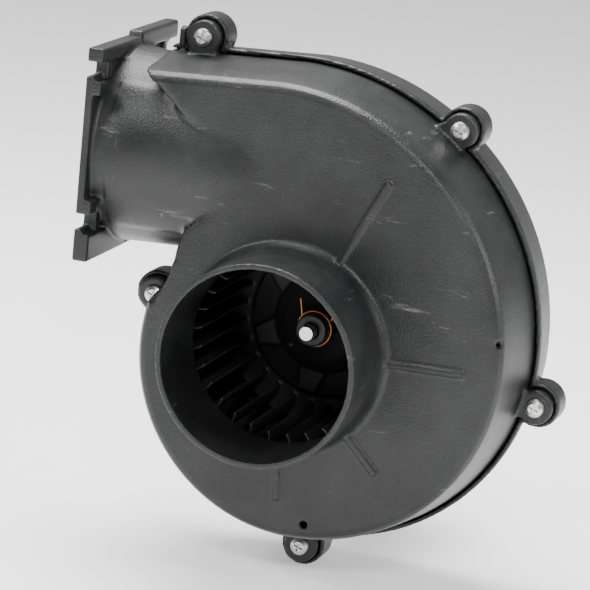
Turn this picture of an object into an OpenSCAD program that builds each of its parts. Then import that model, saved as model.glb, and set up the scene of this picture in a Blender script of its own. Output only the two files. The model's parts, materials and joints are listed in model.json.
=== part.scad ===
// Flange-mounted centrifugal blower: a two-part moulded scroll housing, a forward-curved wheel
// and the permanent-magnet motor that turns it.
// Millimetres. The shaft lies along Y, and the air enters at the front, facing -Y. The origin is
// the centre of the inlet collar's front rim, +Z is up and the outlet flange faces -X.

/* [Inlet collar] */
// Outside radius of the collar that a 4 in hose slides over
collar_r = 50.8; // [50.4:0.1:51.2]
// Wall of the collar
collar_wall = 3; // [2.5:0.1:3.2]
// Length of the collar, from its rim to the front face
collar_len = 44.8; // [40:0.1:46]

/* [Scroll housing] */
// Distance from the shaft to the seam line at the left, the bottom, the right and the top
scroll_left = 82; // [80:0.5:84]
// Distance at the bottom
scroll_bottom = 102; // [100:0.5:104]
// Distance at the right
scroll_right = 117; // [115:0.5:119]
// Distance at the top
scroll_top = 137; // [135:0.5:139]
// Depth of the seam between the two halves
seam_y = 92; // [90:0.5:94]
// Depth of the back wall's outer face
back_y = 129; // [128:0.5:132]
// Wall of both halves
wall = 2.6; // [2.2:0.1:3]

/* [Outlet] */
// Height of the outlet's axis above the shaft
duct_z = 82.2; // [80:0.1:84]
// Outside radius of the duct at the flange
duct_r = 50.6; // [49.5:0.1:51.5]
// Outer face of the flange
flange_x = -112.4; // [-116:0.1:-110]
// Side of the square flange
flange_side = 108; // [106:1:110]
// Plate thickness of the flange
flange_t = 4; // [3:0.5:5]
// Width of the hook slots
slot_w = 7.6; // [7:0.1:8]

/* [Wheel] */
// Number of blades
blade_count = 29; // [24:1:34]
// Radius inside the blades
blade_in_r = 44.3; // [43:0.1:45]
// Radius outside the blades
wheel_r = 58; // [56:0.1:60]
// Depth of the blades' front ends
wheel_front_y = 49; // [48.5:0.1:51]
// Depth of the wheel's back plate
wheel_back_y = 121.5; // [119:0.1:122]

/* [Motor] */
// Outside radius of the motor can
motor_r = 38; // [37:0.5:42]
// Radius of the shaft
shaft_r = 4; // [3.8:0.1:4]
// Depth of the shaft's free end
shaft_tip_y = 81.7; // [80:0.1:84]

/* [Hidden] */
$fn = 96;
plastic = "#3b3c3d";

// Scroll outline ------------------------------------------------------------------------------
// The scroll is drawn the usual way, from one centre for each quarter. Neighbouring arcs share
// a radius line where they meet, so the wall runs smoothly from one to the next.
left_x = 10;
arc_1_r = scroll_left + left_x;
arc_1 = [left_x, arc_1_r - scroll_bottom, arc_1_r, 165, 270];
arc_2_r = scroll_right - left_x;
arc_2 = [left_x, arc_2_r - scroll_bottom, arc_2_r, 270, 360];
arc_3_r = scroll_top - arc_2[1];
arc_3 = [scroll_right - arc_3_r, arc_2[1], arc_3_r, 0, 90];
arcs = [arc_1, arc_2, arc_3];
// Point on an arc at an angle, d millimetres inside it
function on_arc(a, angle, d = 0) = [a[0] + (a[2] - d) * cos(angle), a[1] + (a[2] - d) * sin(angle)];
front_y = collar_len;
// Half-profiles of the wall, as [millimetres inside the seam line, depth]
front_profile = [[10, front_y], [7.6, front_y + 0.8], [5.6, front_y + 3.7],
    [4.2, front_y + 12], [2.6, front_y + 24], [0.4, seam_y - 5], [0.3, seam_y]];
back_profile = [[-1.6, seam_y], [-1, seam_y + 5], [1.6, back_y - 5], [3.2, back_y - 1.4],
    [6.5, back_y]];
// The top wall leaves the last arc and falls a little on its way to the duct
run_x = [arc_3[0], -86];
run_drop = 3.8;
// Rest of the middle's outline, inside the duct and down to the cutoff, with the direction
// that the inside of the wall lies in
inner_run = [[-63, 108, 1, -0.6], [-40, 98, 1, -1.4], [-40, 66, 1, 1], [-58, 51, 1, 0.7],
    [-61, 40, 1, 0.3], [-62, 29, 1, 0.2]];
// The wall that closes the scroll at the cutoff, as an angle, and how far it steps in
cutoff_wall = 3;
cutoff_step = 9;
boss_at = [[-68.2, 142], [68.8, 114.4], [121.6, -17.5], [7.9, -110.2], [-82.4, 7.6]];
boss_r = 11.3;
tab_r = 8.8;
tab_y = seam_y - 11;
boss_y = seam_y - 6;
lip = 2.4;
gap = 0.3;

// Part of a turned shape about an arc's centre, over the arc's own angles
module swept(a, inside = false) {
    first = a[3] + (inside && a[3] == arc_1[3] ? cutoff_wall : 0);
    translate([a[0], 0, a[1]]) rotate([0, -a[4], 0]) rotate([-90, 0, 0])
        rotate_extrude(angle = a[4] - first) children();
}

// Solid scroll between depths y0 and y1, whose edge follows a profile, shrunk by inset: a band
// along each arc, the top wall's run, and one plate for all that lies inside them
band = 26;
module scroll(profile, inset, y0, y1, flat_y) {
    for (a = arcs) swept(a, inset > 1) polygon(concat([[a[2] - band, flat_y]],
        [for (p = profile) [a[2] - p[0] - inset, p[1]]],
        [[a[2] - band, profile[len(profile) - 1][1]]]));
    side = [for (p = inner_run) [p[0] + inset * p[2], p[1] + inset * p[3]]];
    slab(y0, y1) polygon(concat([for (a = arcs, t = [8:16:88]) on_arc(a, (a[3] < 180 ? 1 : 0) * a[3]
        + (a[3] < 180 ? 0 : a[3]) + t, band - 9)], [[run_x[0] - 12, scroll_top - band]],
        [for (k = [1:len(side) - 1]) side[k]],
        [on_arc(arc_1, arc_1[3] + 2 + (inset > 1 ? cutoff_wall : 0), inset + cutoff_step)]));
    intersection() {
        slab(y0, y1) polygon([[run_x[0], scroll_top + 5], [run_x[1], scroll_top + 5],
            [run_x[1], scroll_top - run_drop - 5], side[0], side[1], [run_x[0] - 18, scroll_top - 50],
            [run_x[0], scroll_top - 50]]);
        run(profile, inset);
    }
}

// Bar with the wall's profile, from the last arc's end down to the duct
module run(profile, inset) {
    ring = concat([for (p = profile) [p[1], scroll_top - p[0] - inset]],
        [[profile[len(profile) - 1][1], scroll_top - 60], [profile[0][1], scroll_top - 60]]);
    n = len(ring);
    polyhedron([for (x = run_x, p = ring) [x, p[0], p[1] - (x == run_x[1] ? run_drop : 0)]],
        concat([[for (k = [0:n - 1]) k]], [[for (k = [0:n - 1]) 2 * n - 1 - k]],
        [for (k = [0:n - 1]) [n + k, n + (k + 1) % n, (k + 1) % n, k]]));
}

// Turns an outline of [radius, depth] about the shaft axis
module turned() {
    rotate([-90, 0, 0]) rotate_extrude() children();
}

// Cylinder along +Y from y0 to y1
module bar(r, y0, y1, x = 0, z = 0) {
    translate([x, y0, z]) rotate([-90, 0, 0]) cylinder(r = r, h = y1 - y0);
}

// Tube along +Y
module sleeve(r_out, r_in, y0, y1) {
    difference() {
        bar(r_out, y0, y1);
        bar(r_in, y0 - 1, y1 + 1);
    }
}

// Plate drawn in X and Z, from y0 to y1
module slab(y0, y1) {
    translate([0, y1, 0]) rotate([90, 0, 0]) linear_extrude(y1 - y0) children();
}

module front_half() {
    translate([-200, -1, -200]) cube([400, seam_y + 1, 400]);
}

module rear_half() {
    translate([-200, seam_y, -200]) cube([400, 200, 400]);
}

// Duct body: straight to the flange, tapered to a nose that sinks into the housing's wall
module duct(r_flange, r_nose, x_nose, more = 0) {
    translate([flange_x - more, seam_y, duct_z]) rotate([0, 90, 0])
        cylinder(r1 = r_flange, r2 = r_nose, h = x_nose - flange_x + more, $fn = 128);
}

module collar_space() {
    bar(collar_r - collar_wall, -1, front_y + wall + 1);
}

// One half of the flange: a plate, a rim top and bottom, and a pad beside each hook slot.
// Drawn for the front half; the rear half is its mirror image across the seam.
slot_z = [125.6, 48.4];
slot_depth = 12;
rim_t = 8;
flange_top = duct_z + flange_side / 2;
flange_bottom = duct_z - flange_side / 2;
module flange_half() {
    y0 = seam_y - flange_side / 2;
    difference() {
        union() {
            translate([flange_x, y0, flange_bottom])
                cube([flange_t, flange_side / 2, flange_side]);
            translate([flange_x, y0, flange_top - 6.8]) cube([rim_t, flange_side / 2, 6.8]);
            translate([flange_x, y0, flange_bottom]) cube([rim_t, flange_side / 2, 14]);
            for (z = [slot_z[0] - slot_w / 2 - 9, slot_z[1] + slot_w / 2])
                translate([flange_x, y0, z]) cube([rim_t, 9, 7]);
            for (z = slot_z)
                translate([flange_x, y0 + slot_depth, z - 6]) cube([rim_t - 1, 5, 12]);
        }
        for (z = slot_z) {
            translate([flange_x - 1, y0 - 1, z - slot_w / 2])
                cube([rim_t + 2, slot_depth + 1, slot_w]);
        }
    }
}

// Front half: collar, flat face, rounded shoulder, half of the duct and the screw tabs
module front_shell() {
    color(plastic) difference() {
        union() {
            scroll(front_profile, 0, front_y, seam_y, front_y);
            intersection() {
                duct(duct_r, front_nose_r, front_nose_x);
                front_half();
            }
            flange_half();
            for (b = boss_at) bar(tab_r, tab_y, seam_y - 0.2, b[0], b[1]);
            tab_necks(tab_y + 0.3, seam_y - 0.5, tab_r - 1.5);
            collar();
            ribs();
        }
        scroll(inside_front, wall, front_y + wall, seam_y + 1, front_y + wall);
        duct(duct_r - wall, front_nose_r - wall, front_nose_x - wall, 1);
        collar_space();
        for (b = boss_at) bar(screw_r + 0.3, tab_y - 1, seam_y + 1, b[0], b[1]);
        for (b = boss_at) bar(head_r + 0.5, tab_y - head_h - 4, tab_y + 0.1, b[0], b[1]);
        for (h = face_holes) bar(2, front_y - 2, front_y + wall + 1, h[0], h[1]);
    }
}
// Inside of the wall: the same edge, starting one wall thickness behind the face
inside_front = concat([[8, front_y + wall]], [for (p = front_profile) if (p[1] > front_y + wall + 1
    && p[1] < seam_y) p], [[0.3, seam_y + 1]]);
inside_back = concat([[-1.6, seam_y - 1]], [for (p = back_profile) if (p[1] > seam_y
    && p[1] < back_y - 2) p], [[3, back_y - wall]]);
front_nose_r = 47.1;
front_nose_x = -22;
face_holes = [[109, 19.8], [19.4, -87.6]];

// Hose collar: straight for the hose, then flared into a low step on the face
flare_r = 54;
straight_len = 36;
module collar() {
    turned() polygon([[collar_r - collar_wall, 0], [collar_r, 0], [collar_r, straight_len],
        [collar_r + 1, front_y - 4], [flare_r - 0.4, front_y - 0.7], [flare_r, front_y - 0.6],
        [flare_r, front_y + 10], [collar_r - collar_wall, front_y + 10]]);
}

// Radial ribs on the face: [angle, inner radius, outer radius]
rib_set = [[63, 51.5, 102], [1.5, 51.5, 93], [-46, 52, 77], [-87, 52, 77]];
rib_w = 3;
module ribs() {
    for (r = rib_set) rotate([0, -r[0], 0])
        translate([r[1], front_y - 1.6, -rib_w / 2]) cube([r[2] - r[1], 8, rib_w]);
}

// Necks that tie each screw boss to the wall, aimed at the nearest wall
neck_angle = [-90, 210, 172, 93, 0];
module tab_necks(y0, y1, half_w) {
    for (k = [0:len(boss_at) - 1]) translate([boss_at[k][0], 0, boss_at[k][1]])
        rotate([0, -neck_angle[k], 0]) translate([3, y0, -half_w])
            cube([k == 4 ? 6 : 8, y1 - y0, 2 * half_w]);
}

// Rear half: back wall with the motor's opening, lip round the front half, boss cups
nose_hole_r = 14;
module rear_shell() {
    color(plastic) difference() {
        union() {
            scroll(back_profile, 0, seam_y, back_y, seam_y);
            intersection() {
                duct(duct_r + 0.4, back_nose_r, back_nose_x);
                rear_half();
            }
            translate([0, 2 * seam_y, 0]) mirror([0, 1, 0]) flange_half();
            for (b = boss_at) {
                bar(boss_r, boss_y, seam_y + 9, b[0], b[1]);
                translate([b[0], seam_y + 9, b[1]]) rotate([-90, 0, 0])
                    cylinder(r1 = boss_r, r2 = 5.5, h = 12);
            }
            tab_necks(seam_y + 0.5, seam_y + 8, boss_r - 2);
            seam_lip();
            bar(motor_r + 3, back_y - 12, back_y + 1);
        }
        scroll(inside_back, wall, seam_y - 1, back_y - wall, seam_y - 1);
        scroll(front_room, -0.2, boss_y - 2, seam_y + gap / 2, boss_y - 2);
        duct(duct_r - wall, back_nose_r - wall, back_nose_x - wall, 1);
        bar(nose_hole_r, back_y - 10, back_y + 10);
        for (b = boss_at) {
            bar(tab_r + gap, boss_y - 1, seam_y + gap, b[0], b[1]);
            bar(screw_r, seam_y - 1, seam_y + screw_len, b[0], b[1]);
        }
        tab_necks(boss_y - 1.2, seam_y + 0.1, tab_r - 1.5 + gap);
        for (a = motor_screw_angles) rotate([0, -a, 0]) bar(2.2, back_y - 6, back_y + 4, motor_screw_r);
    }
}
// The front half's edge needs its own room inside the boss cups
front_room = [[0.2 - gap / 2, boss_y - 2], [0.2 - gap / 2, seam_y + gap / 2]];
back_nose_r = 36.8;
back_nose_x = -8;

// Lip that stands forward of the seam, round the front half's edge, from cutoff to duct
module seam_lip() {
    for (a = arcs) swept(a) translate([a[2] + gap, seam_y - 5]) square([lip, 5.5]);
    slab(seam_y - 5, seam_y + 0.5) polygon([for (q = [[0, gap], [0, gap + lip], [1, gap + lip], [1, gap]])
        [run_x[q[0]], scroll_top + q[1] - q[0] * run_drop]]);
}

// Fasteners -----------------------------------------------------------------------------------
screw_r = 2.1;
screw_len = 14;
head_r = 4.9;
head_h = 3;
// Pan head with a cross recess, pointing along +Y from the underside of its head
module pan_screw(r, head, height, length) {
    difference() {
        union() {
            turned() polygon([[0, -height], [head * 0.55, -height], [head * 0.9, -height * 0.6],
                [head, -height * 0.2], [head, 0], [0, 0]]);
            bar(r, -0.1, length);
        }
        for (a = [0, 90]) rotate([0, a, 0])
            translate([-head * 0.5, -height - 1, -head * 0.09]) cube([head, 1 + height * 0.55, head * 0.18]);
    }
}

module cover_screws() {
    color("silver") for (b = boss_at)
        translate([b[0], tab_y, b[1]]) rotate([0, 20, 0])
            pan_screw(screw_r, head_r, head_h, seam_y - tab_y + screw_len - 1);
}

motor_screw_r = 24;
motor_screw_angles = [30, 150, 270];
module motor_screws() {
    color("silver") for (a = motor_screw_angles) rotate([0, -a, 0])
        translate([motor_screw_r, back_y - wall, 0]) pan_screw(1.9, 3.6, 1.9, 10);
}

bolt_ring_r = 31.6;
module through_bolts() {
    color("silver") for (a = [0, 180]) rotate([0, -a, 0]) translate([bolt_ring_r, cap_end_y, 0])
        mirror([0, 1, 0]) pan_screw(1.7, 3.4, 2, cap_end_y - front_cap_y - 4);
}

// Motor ---------------------------------------------------------------------------------------
gasket_y = back_y + 1;
front_cap_y = gasket_y + 2;
can_y = front_cap_y + 1;
can_end_y = can_y + 62;
cap_end_y = can_end_y + 18;
can_wall = 2.2;
can_in_r = motor_r - can_wall;
nose_r = 11;
nose_y = 113;

module motor_gasket() {
    color("#1d1d1d") difference() {
        sleeve(motor_r, nose_r + 1, gasket_y, front_cap_y);
        for (a = motor_screw_angles) rotate([0, -a, 0])
            bar(2.2, gasket_y - 1, front_cap_y + 1, motor_screw_r);
    }
}

// Die-cast end cap: its nose reaches through the back wall and holds the front bearing
bearing_r = 8;
module motor_front_cap() {
    color("#8d9093") difference() {
        union() {
            bar(motor_r, front_cap_y, can_y);
            bar(can_in_r, can_y - 0.1, front_cap_y + 6);
            bar(nose_r, nose_y, front_cap_y + 0.1);
        }
        bar(bearing_r, nose_y + 1.5, front_cap_y + 7);
        bar(shaft_r + 0.6, nose_y - 1, nose_y + 3);
        for (a = motor_screw_angles) rotate([0, -a, 0])
            bar(1.9, front_cap_y - 1, front_cap_y + 7, motor_screw_r);
        for (a = [0, 180]) rotate([0, -a, 0])
            bar(1.7, front_cap_y + 3, front_cap_y + 7, bolt_ring_r);
    }
}

module motor_can() {
    color("#26272a") sleeve(motor_r, can_in_r, can_y, can_end_y);
}

module motor_rear_cap() {
    color("#2b2c2e") difference() {
        union() {
            bar(motor_r, can_end_y, cap_end_y);
            bar(12, cap_end_y - 0.1, cap_end_y + 4);
        }
        bar(can_in_r, can_end_y - 1, cap_end_y - 4);
        bar(bearing_r, cap_end_y - 9, cap_end_y + 2.5);
        for (a = [0, 180]) rotate([0, -a, 0]) bar(1.7, cap_end_y - 6, cap_end_y + 1, bolt_ring_r);
        translate([0, grommet_y, -motor_r - 1]) cylinder(r = grommet_r, h = 10);
    }
}

grommet_y = can_end_y + 10;
grommet_r = 4.5;
// Rubber grommet that the two leads pass through at the underside of the rear cap
module lead_grommet() {
    color("#141414") translate([0, grommet_y, -motor_r - 2]) difference() {
        union() {
            cylinder(r = grommet_r, h = 6);
            cylinder(r = grommet_r + 2, h = 1.7);
        }
        for (x = [-1.9, 1.9]) translate([x, 0, -1]) cylinder(r = 1.4, h = 8);
    }
}

magnet_in_r = 28.4;
magnet_y = [can_y + 10, can_y + 48];
module magnet(turn) {
    color("#4a4a4c") intersection() {
        sleeve(can_in_r, magnet_in_r, magnet_y[0], magnet_y[1]);
        rotate([0, turn, 0]) slab(magnet_y[0] - 1, magnet_y[1] + 1)
            polygon([[0, 0], [90, 52], [90, 60], [-90, 60], [-90, 52]]);
    }
}
module magnet_1() { magnet(0); }
module magnet_2() { magnet(180); }

// Sintered bronze sleeve with a loose running fit on the shaft
bore_gap = 0.05;
module front_bearing() {
    color("#b08a4a") sleeve(bearing_r, shaft_r + bore_gap, nose_y + 3, nose_y + 15);
}
rear_bearing_y = cap_end_y - 8;
module rear_bearing() {
    color("#b08a4a") sleeve(bearing_r, shaft_r + bore_gap, rear_bearing_y, rear_bearing_y + 9);
}

// Brush gear: a phenolic plate with two brass boxes, each with a carbon brush and its spring
brush_y = can_end_y - 2;
brush_plate_y = brush_y + 4.5;
module brush_plate() {
    color("#7a4a2a") difference() {
        bar(can_in_r - 0.2, brush_plate_y, brush_plate_y + 2);
        bar(14, brush_plate_y - 1, brush_plate_y + 3);
        for (a = [0, 180]) rotate([0, -a, 0]) bar(2.3, brush_plate_y - 1, brush_plate_y + 3, bolt_ring_r);
    }
}
brush_half = 3;
module brush_box(turn) {
    color("#c9a54c") rotate([0, turn, 0]) difference() {
        translate([-4, brush_plate_y - 8, 14]) cube([8, 8, 14]);
        translate([-brush_half, brush_plate_y - 7, 13]) cube([2 * brush_half, 6, 14]);
    }
}
module brush_box_1() { brush_box(0); }
module brush_box_2() { brush_box(180); }
module brush(turn) {
    color("#2e2e30") rotate([0, turn, 0]) difference() {
        translate([-brush_half, brush_plate_y - 7, commutator_r - 1]) cube([2 * brush_half, 6, 13]);
        bar(commutator_r + 0.1, brush_plate_y - 9, brush_plate_y + 1);
    }
}
module brush_1() { brush(0); }
module brush_2() { brush(180); }
module brush_spring(turn) {
    color("#b9bcc0") rotate([0, turn, 0]) for (k = [0:2])
        translate([0, brush_plate_y - 4, commutator_r + 12.6 + k * 0.9])
            rotate_extrude() translate([1.9, 0]) circle(r = 0.4, $fn = 24);
}
module brush_spring_1() { brush_spring(0); }
module brush_spring_2() { brush_spring(180); }

// Rotor ---------------------------------------------------------------------------------------
shaft_end_y = cap_end_y + 2;
module shaft() {
    color("#c8cacc") turned() polygon([[0, shaft_tip_y], [shaft_r - 0.5, shaft_tip_y],
        [shaft_r, shaft_tip_y + 0.5], [shaft_r, shaft_end_y - 0.5],
        [shaft_r - 0.5, shaft_end_y], [0, shaft_end_y]]);
}

core_y = [can_y + 14, can_y + 42];
core_r = magnet_in_r - 0.7;
slot_count = 12;
module armature_core() {
    color("#7d7f82") difference() {
        sleeve(core_r, shaft_r, core_y[0], core_y[1]);
        for (k = [0:slot_count - 1]) rotate([0, k * 360 / slot_count, 0]) {
            bar(3.4, core_y[0] - 1, core_y[1] + 1, 18.5);
            translate([20, core_y[0] - 1, -1]) cube([12, core_y[1] - core_y[0] + 2, 2]);
        }
    }
}

// Copper coils: one bundle in each slot, joined by a ring of end turns at both ends
module armature_windings() {
    color("#b5612c") {
        for (k = [0:slot_count - 1]) rotate([0, k * 360 / slot_count, 0])
            bar(3.1, core_y[0] - 1, core_y[1] + 1, 18.5);
        for (y = [core_y[0] - 8, core_y[1]]) turned()
            polygon([[8, y + 2], [12, y], [20, y], [24, y + 3], [24, y + 6], [20, y + 8], [8, y + 8]]);
    }
}

commutator_r = 11;
bar_count = 12;
module commutator() {
    color("#c07a3e") difference() {
        sleeve(commutator_r, shaft_r, core_y[1] + 9, brush_plate_y + 3);
        for (k = [0:bar_count - 1]) rotate([0, (k + 0.5) * 360 / bar_count, 0])
            translate([commutator_r - 2, core_y[1] + 8.5, -0.3])
                cube([3, brush_plate_y - core_y[1] - 4, 0.6]);
    }
}

module washer(y) {
    color("#e8e2cf") sleeve(7, shaft_r, y, y + 0.8);
}
module front_washer() { washer(nose_y + 15.4); }
module rear_washer() { washer(rear_bearing_y - 1.2); }

// Wheel: curved blades between a front ring and a dished back plate that rises to the hub
blade_t = 1.3;
hub_r = 8.4;
hub_y = 89;
module blade() {
    intersection() {
        translate([blade_in_r + 5.6, 0, -9.6])
            sleeve(11.5, 11.5 - blade_t, wheel_front_y + 0.4, wheel_back_y - 1);
        sleeve(wheel_r - 0.2, blade_in_r, wheel_front_y, wheel_back_y);
        translate([blade_in_r - 5, wheel_front_y, -9]) cube([20, wheel_back_y - wheel_front_y, 15]);
    }
}

module wheel() {
    color("#2c2d2f") {
        for (k = [0:blade_count - 1]) rotate([0, -k * 360 / blade_count - 3, 0]) blade();
        sleeve(wheel_r, wheel_r - 2.2, wheel_front_y, wheel_front_y + 4);
        turned() polygon([[shaft_r, hub_y], [hub_r - 0.4, hub_y], [hub_r, hub_y + 0.4],
            [hub_r, 103], [13, 105.4], [20, 108], [25.5, 111.5], [27, 115], [39.8, 117],
            [41, 119], [wheel_r, wheel_back_y - 2], [wheel_r, wheel_back_y], [39, wheel_back_y],
            [37, 119.6], [25.6, 117.8], [24, 114], [19, 110.6], [14, 108.4], [10.4, 111],
            [shaft_r, 111]]);
    }
}

// Spring clamp that grips the split hub: two turns of wire and two crossing tangs
clamp_y = 95;
wire_r = 0.65;
module hub_clamp() {
    color("#b4643c") {
        for (y = [clamp_y, clamp_y + 1.5]) turned()
            translate([hub_r + wire_r + 0.05, y]) circle(r = wire_r, $fn = 32);
        for (t = [[40, -50], [-46, 62]]) rotate([0, t[1], 0])
            translate([0, clamp_y + (t[0] > 0 ? 0 : 1.5), hub_r + wire_r]) rotate([0, t[0], 0])
                cylinder(r = wire_r, h = 9, $fn = 32);
    }
}

front_shell();
rear_shell();
cover_screws();
motor_gasket();
motor_front_cap();
motor_can();
motor_rear_cap();
magnet_1();
magnet_2();
front_bearing();
rear_bearing();
brush_plate();
brush_box_1();
brush_box_2();
brush_1();
brush_2();
brush_spring_1();
brush_spring_2();
motor_screws();
through_bolts();
lead_grommet();
wheel();
hub_clamp();
shaft();
armature_core();
armature_windings();
commutator();
front_washer();
rear_washer();
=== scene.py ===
import bpy
import bmesh
import json
import math
import numpy
from mathutils import Matrix, Vector


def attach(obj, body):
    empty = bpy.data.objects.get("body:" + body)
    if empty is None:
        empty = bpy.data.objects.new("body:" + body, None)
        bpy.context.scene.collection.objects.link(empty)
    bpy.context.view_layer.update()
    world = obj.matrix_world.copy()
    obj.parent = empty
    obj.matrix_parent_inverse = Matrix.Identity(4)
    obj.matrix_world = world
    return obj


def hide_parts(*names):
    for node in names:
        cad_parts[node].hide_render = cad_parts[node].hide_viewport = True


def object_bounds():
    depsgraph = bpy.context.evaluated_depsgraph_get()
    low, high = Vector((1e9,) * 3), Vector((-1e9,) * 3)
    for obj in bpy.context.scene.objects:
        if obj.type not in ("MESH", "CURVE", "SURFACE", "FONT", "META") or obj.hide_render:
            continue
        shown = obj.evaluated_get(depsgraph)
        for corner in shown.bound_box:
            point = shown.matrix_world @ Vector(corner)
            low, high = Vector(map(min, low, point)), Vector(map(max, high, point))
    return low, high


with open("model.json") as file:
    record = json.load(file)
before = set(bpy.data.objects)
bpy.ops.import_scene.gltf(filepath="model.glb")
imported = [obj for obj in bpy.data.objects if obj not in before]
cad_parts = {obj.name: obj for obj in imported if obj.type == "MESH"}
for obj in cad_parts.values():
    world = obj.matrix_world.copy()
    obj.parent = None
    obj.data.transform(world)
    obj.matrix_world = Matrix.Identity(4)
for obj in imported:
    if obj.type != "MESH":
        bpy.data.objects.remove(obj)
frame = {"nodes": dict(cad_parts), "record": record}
nodes = frame["nodes"]
scene = bpy.context.scene
cad_box = [list(corner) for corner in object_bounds()]

# Floor --------------------------------------------------------------------------------------
# A wide sheet of white studio paper laid flat under the blower, so wide that its edge never
# shows. Past the first metre it falls away very slightly.
floor_size = 9.0
floor_cells = 40
floor_gap = 0.0004
level_reach = 1.0
fall = 0.002
floor_z = cad_box[0][2] - floor_gap
sheet = bmesh.new()
bmesh.ops.create_grid(sheet, x_segments=floor_cells, y_segments=floor_cells, size=floor_size)
for spot in sheet.verts:
    spot.co.z = floor_z - fall * max(0.0, spot.co.length - level_reach)
for face in sheet.faces:
    face.smooth = True
floor_mesh = bpy.data.meshes.new("floor")
sheet.to_mesh(floor_mesh)
sheet.free()
floor = bpy.data.objects.new("floor", floor_mesh)
scene.collection.objects.link(floor)

paper = bpy.data.materials.new("paper")
paper.use_nodes = True
paper_shader = paper.node_tree.nodes["Principled BSDF"]
paper_shader.inputs["Roughness"].default_value = 0.9
paper_shader.inputs["Emission Color"].default_value = (1, 1, 1, 1)
paper_shader.inputs["Emission Strength"].default_value = 0.42
paper_noise = paper.node_tree.nodes.new("ShaderNodeTexNoise")
paper_noise.inputs["Scale"].default_value = 3.0
paper_ramp = paper.node_tree.nodes.new("ShaderNodeValToRGB")
paper_ramp.color_ramp.elements[0].color = (0.90, 0.90, 0.90, 1)
paper_ramp.color_ramp.elements[1].color = (0.94, 0.94, 0.94, 1)
paper.node_tree.links.new(paper_noise.outputs["Fac"], paper_ramp.inputs["Fac"])
paper.node_tree.links.new(paper_ramp.outputs["Color"], paper_shader.inputs["Base Color"])
floor_mesh.materials.append(paper)

# Light and camera ---------------------------------------------------------------------------
# A white room with four soft square lamps: a broad one overhead, smaller ones from the front
# left and toward the inlet, and a weak one from the right. The camera stands off to the right
# of the inlet and looks a little down at it.
world = bpy.data.worlds.new("room")
scene.world = world
world.use_nodes = True
room = world.node_tree.nodes["Background"]
room.inputs["Color"].default_value = (1.0, 1.0, 1.0, 1)
room.inputs["Strength"].default_value = 0.5

lamps = (
    # name, place, point aimed at, side of the square, watts
    ("overhead", (-0.25, 0.3, 1.2), (0, 0.08, 0), 0.8, 44),
    ("front_left", (-0.9, -0.7, 1.0), (0, 0.05, 0), 0.35, 12),
    ("inlet", (0.55, -1.3, 0.95), (0, 0.1, 0), 0.25, 16),
    ("right", (1.3, 0.1, 0.5), (0, 0.1, 0), 0.5, 9),
)
for name, place, aim, side, watts in lamps:
    lamp = bpy.data.lights.new(name, "AREA")
    lamp.shape = "SQUARE"
    lamp.size = side
    lamp.energy = watts
    holder = bpy.data.objects.new(name, lamp)
    holder.location = place
    holder.rotation_euler = (Vector(aim) - Vector(place)).to_track_quat("-Z", "Y").to_euler()
    scene.collection.objects.link(holder)

camera_data = bpy.data.cameras.new("camera")
camera_data.lens = 213.6
camera_data.sensor_width = 36
camera = bpy.data.objects.new("camera", camera_data)
right = Vector((0.94468, 0.31441, 0.09353))
up = Vector((-0.15841, 0.18758, 0.96939))
forward = Vector((-0.28724, 0.93057, -0.22701))
view = Matrix((right, up, -forward)).transposed().to_4x4()
view.translation = (0.4983, -1.5575, 0.4189)
camera.matrix_world = view
scene.collection.objects.link(camera)
scene.camera = camera

# Black plastic ------------------------------------------------------------------------------
# The glass-filled plastic that both housing halves are moulded in: near black and half matt,
# with fine raised grain, pale specks, long scuffs from handling and pale painted sheen streaks.


def grainy(name, dark, light, rough, bump, grain=900, mottle=28, metal=0.0, shine=0.5):
    """A finish whose colour, gloss and surface all vary: mottled, with a fine raised grain."""
    gloss_spread = 0.09
    finish = bpy.data.materials.new(name)
    finish.use_nodes = True
    tree = finish.node_tree
    shader = tree.nodes["Principled BSDF"]
    place = tree.nodes.new("ShaderNodeTexCoord")
    cloud = tree.nodes.new("ShaderNodeTexNoise")
    cloud.inputs["Scale"].default_value = mottle
    cloud.inputs["Detail"].default_value = 6
    cloud.inputs["Roughness"].default_value = 0.62
    tint = tree.nodes.new("ShaderNodeValToRGB")
    tint.color_ramp.elements[0].position = 0.32
    tint.color_ramp.elements[0].color = dark + (1,)
    tint.color_ramp.elements[1].position = 0.72
    tint.color_ramp.elements[1].color = light + (1,)
    gloss = tree.nodes.new("ShaderNodeMapRange")
    gloss.inputs["To Min"].default_value = rough - gloss_spread
    gloss.inputs["To Max"].default_value = rough + gloss_spread
    fine = tree.nodes.new("ShaderNodeTexNoise")
    fine.inputs["Scale"].default_value = grain
    fine.inputs["Detail"].default_value = 3
    raised = tree.nodes.new("ShaderNodeBump")
    raised.inputs["Strength"].default_value = bump
    raised.inputs["Distance"].default_value = 0.0004
    shader.inputs["Metallic"].default_value = metal
    shader.inputs["Specular IOR Level"].default_value = shine
    link = tree.links.new
    link(place.outputs["Object"], cloud.inputs["Vector"])
    link(place.outputs["Object"], fine.inputs["Vector"])
    link(cloud.outputs["Fac"], tint.inputs["Fac"])
    link(tint.outputs["Color"], shader.inputs["Base Color"])
    link(cloud.outputs["Fac"], gloss.inputs["Value"])
    link(gloss.outputs["Result"], shader.inputs["Roughness"])
    link(fine.outputs["Fac"], raised.inputs["Height"])
    link(raised.outputs["Normal"], shader.inputs["Normal"])
    return finish


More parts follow.
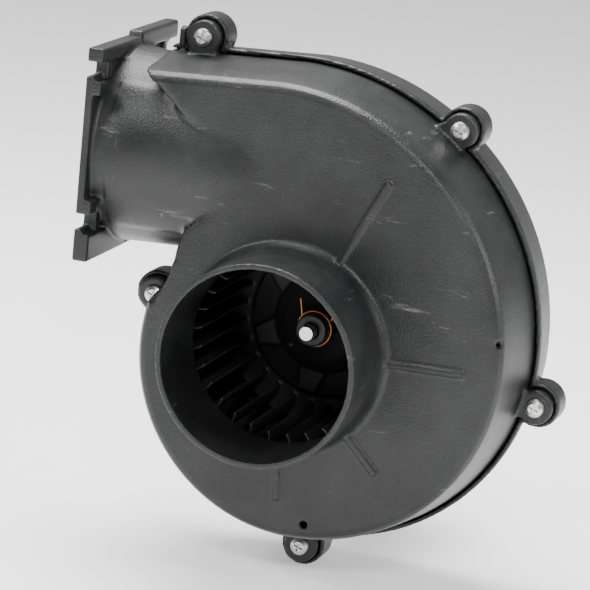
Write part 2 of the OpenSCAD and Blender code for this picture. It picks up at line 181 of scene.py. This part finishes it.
def wear_and_painted_sheen(finish, scale, stretch, cut, colour, amount):
    """Adds pale marks wherever a stretched noise passes the cut level: wear, or painted sheen.
    """
    fade = 0.12
    tree = finish.node_tree
    shader = tree.nodes["Principled BSDF"]
    place = tree.nodes.new("ShaderNodeTexCoord")
    turned = tree.nodes.new("ShaderNodeMapping")
    turned.inputs["Scale"].default_value = stretch
    turned.inputs["Rotation"].default_value = (0.2, 0.5, 0.4)
    marks = tree.nodes.new("ShaderNodeTexNoise")
    marks.inputs["Scale"].default_value = scale
    marks.inputs["Detail"].default_value = 8
    marks.inputs["Roughness"].default_value = 0.7
    level = tree.nodes.new("ShaderNodeMapRange")
    level.inputs["From Min"].default_value = cut
    level.inputs["From Max"].default_value = cut + fade
    level.inputs["To Max"].default_value = amount
    blend = tree.nodes.new("ShaderNodeMix")
    blend.data_type = "RGBA"
    blend.inputs["B"].default_value = colour + (1,)
    under = shader.inputs["Base Color"].links[0].from_socket
    link = tree.links.new
    link(place.outputs["Object"], turned.inputs["Vector"])
    link(turned.outputs["Vector"], marks.inputs["Vector"])
    link(marks.outputs["Fac"], level.inputs["Value"])
    link(level.outputs["Result"], blend.inputs["Factor"])
    link(under, blend.inputs["A"])
    link(blend.outputs["Result"], shader.inputs["Base Color"])


black = grainy("housing_black", (0.006, 0.0062, 0.0068), (0.019, 0.0193, 0.0197), 0.37, 0.6,
               grain=1100, mottle=40, shine=0.38)
specks = (1500, (1, 1, 1), 0.6, (0.2, 0.2, 0.2), 0.35)
# Painted sheen: pale horizontal streaks that stand in for streaky patches of light on the face.
painted_sheen_streaks = (30, (1, 1, 5), 0.62, (0.3, 0.3, 0.29), 0.4)
scuffs = (260, (1, 1, 0.05), 0.66, (0.34, 0.34, 0.33), 0.35)
for marks in (specks, painted_sheen_streaks, scuffs):
    wear_and_painted_sheen(black, *marks)

# Front housing half -------------------------------------------------------------------------
# Moulded in one shot with the hose collar, the ribs, half of the duct and half of the flange.
# Every edge and inside corner carries the mould's small radius. The duct's bulge stays full
# until it noses down into the flat face, and the half is screwed to the rear one.


def relaxed(mesh, inside, passes):
    """Blends the skin further where inside(x, y, z) says so, as a generous mould radius does."""
    step = 0.5
    spots = numpy.empty(len(mesh.vertices) * 3)
    mesh.vertices.foreach_get("co", spots)
    spots = spots.reshape(-1, 3)
    pairs = numpy.empty(len(mesh.edges) * 2, dtype=numpy.int64)
    mesh.edges.foreach_get("vertices", pairs)
    ends = pairs.reshape(-1, 2)
    here = numpy.concatenate((ends[:, 0], ends[:, 1]))
    there = numpy.concatenate((ends[:, 1], ends[:, 0]))
    count = numpy.bincount(here, minlength=len(spots))
    weight = inside(spots[:, 0], spots[:, 1], spots[:, 2]) * step
    for _ in range(passes):
        for axis in range(3):
            mean = numpy.bincount(here, spots[there, axis], minlength=len(spots)) / count
            spots[:, axis] += (mean - spots[:, axis]) * weight
    mesh.vertices.foreach_set("co", spots.ravel())
    mesh.update()


def lump(merged, low_corner, high_corner, taper=0.0):
    """A box between two corners, its end toward -Y narrowed by taper."""
    size = [b - a for a, b in zip(low_corner, high_corner)]
    middle = [(a + b) / 2 for a, b in zip(low_corner, high_corner)]
    made = bmesh.ops.create_cube(merged, size=1.0)["verts"]
    for spot in made:
        shrink = 1 - taper if spot.co.y < 0 else 1
        spot.co.x = middle[0] + spot.co.x * size[0] * shrink
        spot.co.z = middle[2] + spot.co.z * size[2] * shrink
        spot.co.y = middle[1] + spot.co.y * size[1]


def applied(mesh, name, *modifiers):
    """A new mesh with the given modifiers applied, each a (type, settings) pair."""
    carrier = bpy.data.objects.new(name, mesh)
    scene.collection.objects.link(carrier)
    for kind, settings in modifiers:
        modifier = carrier.modifiers.new(kind.lower(), kind)
        for setting, value in settings.items():
            setattr(modifier, setting, value)
    graph = bpy.context.evaluated_depsgraph_get()
    result = bpy.data.meshes.new_from_object(carrier.evaluated_get(graph))
    bpy.data.objects.remove(carrier)
    return result


def softened(name, source, extras, voxel, passes, finish, blend=None):
    """A solid skinned over a node's shape and its extra lumps, with every corner rounded."""
    kept_share = 0.22
    joined_at = 1e-6
    merged = bmesh.new()
    merged.from_mesh(nodes[source].data)
    bmesh.ops.remove_doubles(merged, verts=merged.verts, dist=joined_at)
    extras(merged)
    core = bpy.data.meshes.new(name + "_core")
    merged.to_mesh(core)
    merged.free()
    width = voxel * 1
    skin = applied(core, name + "_core",
                   ("REMESH", {"mode": "VOXEL", "voxel_size": width}),
                   ("SMOOTH", {"factor": 0.5, "iterations": passes}))
    if blend:
        relaxed(skin, *blend)
    light = applied(skin, name + "_dense", ("DECIMATE", {"ratio": kept_share}))
    light.name = name
    light.polygons.foreach_set("use_smooth", [True] * len(light.polygons))
    light.materials.clear()
    light.materials.append(finish)
    piece = bpy.data.objects.new(name, light)
    scene.collection.objects.link(piece)
    return piece


def swollen(merged):
    """The duct's front wall, which stays full until it noses down into the flat face."""
    duct_y = 0.092
    duct_z = 0.0822
    wall = 0.0032
    lean = math.radians(46)
    steps = 40
    # place along the duct, radius of the wall there
    rings = [(-0.1, 0.0506), (-0.075, 0.0507), (-0.055, 0.0507), (-0.045, 0.0504),
             (-0.038, 0.0499), (-0.032, 0.0492), (-0.027, 0.0483), (-0.023, 0.0472),
             (-0.02, 0.046)]
    layers = []
    for depth in (0, wall):
        grid = []
        for x, r in rings:
            row = []
            for k in range(steps + 1):
                turn = lean * (2 * k / steps - 1)
                y = duct_y - (r - depth) * math.cos(turn)
                z = duct_z + (r - depth) * math.sin(turn)
                row.append(merged.verts.new((x, y, z)))
            grid.append(row)
        layers.append(grid)
    for grid, flip in zip(layers, (False, True)):
        for a, b in zip(grid, grid[1:]):
            for k in range(steps):
                corners = (a[k], a[k + 1], b[k + 1], b[k])
                merged.faces.new(corners[::-1] if flip else corners)
    rims = []
    for grid in layers:
        far_side = [row[-1] for row in grid[1:-1]]
        near_side = [row[0] for row in grid[-2:0:-1]]
        rims.append(grid[0] + far_side + grid[-1][::-1] + near_side)
    outer, inner = rims
    for k in range(len(outer)):
        n = (k + 1) % len(outer)
        merged.faces.new((outer[n], outer[k], inner[k], inner[n]))


def front_extras(merged):
    """The duct's bulge, a locating post by the lower pad and an ear beside the top boss."""
    swollen(merged)
    lump(merged, (-0.108, 0.041, 0.0565), (-0.1035, 0.047, 0.0605), 0.3)
    lump(merged, (-0.083, 0.086, 0.134), (-0.079, 0.0915, 0.1455), 0.2)


def around_duct(x, y, z):
    """Where the duct's bulge runs out into the flat face, outside the collar's foot."""
    collar_foot = 0.057
    near = (x > -0.1) & (x < -0.006) & (y < 0.064) & (z > 0.034) & (z < 0.123)
    return (near & (numpy.hypot(x, z) > collar_foot)).astype(float)


front_housing = softened("front_housing", "front_shell", front_extras, 0.0008, 3, black,
                         (around_duct, 40))
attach(front_housing, "housing")
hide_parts("front_shell")

# Rear housing half --------------------------------------------------------------------------
# The other moulding, in the same plastic, which holds the motor. Its lip laps over the front
# half's edge, and its share of the flange has a rim that stands a little above the front's.


def rear_extras(merged):
    """The flange rim."""
    lump(merged, (-0.1122, 0.0925, 0.134), (-0.1045, 0.1455, 0.1388))


rear_housing = softened("rear_housing", "rear_shell", rear_extras, 0.001, 3, black)
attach(rear_housing, "housing")
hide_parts("rear_shell")

# Screws, motor and rotor metalwork ----------------------------------------------------------
# Bought-in and turned parts, each kept as machined, with the finish that its metal, rubber or
# plastic has in service. One finish serves every part of the same stuff.


def dressed(slot, dark, light, rough, bump, metal=0.0):
    """Gives every part of one stuff its finish: two colours, roughness and raised grain."""
    finish = grainy(slot, dark, light, rough, bump, metal=metal)
    for part in frame["record"]["subparts"]:
        if part["material_slot"] == slot:
            for holder in nodes[part["node"]].material_slots:
                holder.material = finish
    return finish


dressed("stainless", (0.42, 0.42, 0.41), (0.62, 0.62, 0.61), 0.3, 0.1, metal=1.0)
dressed("gasket_rubber", (0.012, 0.012, 0.012), (0.03, 0.03, 0.03), 0.8, 0.3)
dressed("cast_cap", (0.28, 0.285, 0.29), (0.42, 0.42, 0.43), 0.5, 0.4, metal=0.9)
dressed("can_paint", (0.014, 0.015, 0.017), (0.035, 0.036, 0.04), 0.4, 0.15)
dressed("cap_plastic", (0.018, 0.018, 0.02), (0.04, 0.04, 0.042), 0.5, 0.3)
dressed("ferrite", (0.04, 0.04, 0.042), (0.08, 0.08, 0.085), 0.6, 0.3)
dressed("bronze", (0.36, 0.22, 0.09), (0.52, 0.34, 0.15), 0.42, 0.3, metal=1.0)
dressed("phenolic", (0.15, 0.055, 0.02), (0.24, 0.1, 0.045), 0.5, 0.2)
dressed("brass_sheet", (0.55, 0.38, 0.13), (0.72, 0.52, 0.2), 0.3, 0.1, metal=1.0)
dressed("carbon", (0.012, 0.012, 0.013), (0.035, 0.035, 0.037), 0.55, 0.3)
dressed("spring_steel", (0.4, 0.4, 0.42), (0.6, 0.6, 0.62), 0.28, 0.1, metal=1.0)
dressed("zinc_steel", (0.45, 0.46, 0.46), (0.65, 0.65, 0.62), 0.36, 0.15, metal=1.0)
dressed("grommet_rubber", (0.01, 0.01, 0.01), (0.028, 0.028, 0.028), 0.75, 0.3)
dressed("copper_wire", (0.45, 0.16, 0.07), (0.68, 0.3, 0.15), 0.34, 0.15, metal=1.0)
dressed("shaft_steel", (0.5, 0.5, 0.5), (0.72, 0.72, 0.71), 0.24, 0.08, metal=1.0)
dressed("core_steel", (0.2, 0.2, 0.21), (0.34, 0.34, 0.35), 0.45, 0.2, metal=1.0)
dressed("magnet_wire", (0.36, 0.1, 0.03), (0.55, 0.19, 0.07), 0.35, 0.3, metal=0.7)
dressed("commutator_copper", (0.5, 0.22, 0.1), (0.7, 0.36, 0.19), 0.32, 0.1, metal=1.0)
dressed("nylon", (0.62, 0.58, 0.46), (0.78, 0.75, 0.64), 0.45, 0.1)

# Blower wheel -------------------------------------------------------------------------------
# The squirrel-cage wheel, moulded in one piece in black plastic: curved blades between a rim
# ring and a dished back, which is stiffened by raised lobes. The spring clamp grips its hub on
# the motor shaft.
wheel_plastic = dressed("wheel_plastic", (0.012, 0.012, 0.013), (0.028, 0.028, 0.03), 0.42, 0.2)


def wheel_extras(merged):
    """Six raised lobes on the dished back, and one balance nub."""
    lobes = 6
    first_lobe = 20
    front_y = 0.1136
    foot_y = 0.1185
    foot_spread = 1.2
    outline = [(0.0255, -0.0075), (0.0385, -0.0045), (0.0385, 0.0045), (0.0255, 0.0075)]
    for k in range(lobes):
        turn = math.radians(360 / lobes * k + first_lobe)
        along = Vector((math.cos(turn), 0, math.sin(turn)))
        across = Vector((-math.sin(turn), 0, math.cos(turn)))
        front = []
        foot = []
        for a, b in outline:
            front.append(merged.verts.new(along * a + across * b + Vector((0, front_y, 0))))
            foot.append(merged.verts.new(along * a + across * b * foot_spread
                                         + Vector((0, foot_y, 0))))
        merged.faces.new(front[::-1])
        merged.faces.new(foot)
        for i in range(len(outline)):
            n = (i + 1) % len(outline)
            merged.faces.new((front[i], front[n], foot[n], foot[i]))
    lump(merged, (-0.018, 0.1075, -0.016), (-0.0145, 0.114, -0.0125), 0.3)


blower_wheel = softened("blower_wheel", "wheel", wheel_extras, 0.0006, 2, wheel_plastic)
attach(blower_wheel, "rotor")
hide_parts("wheel")
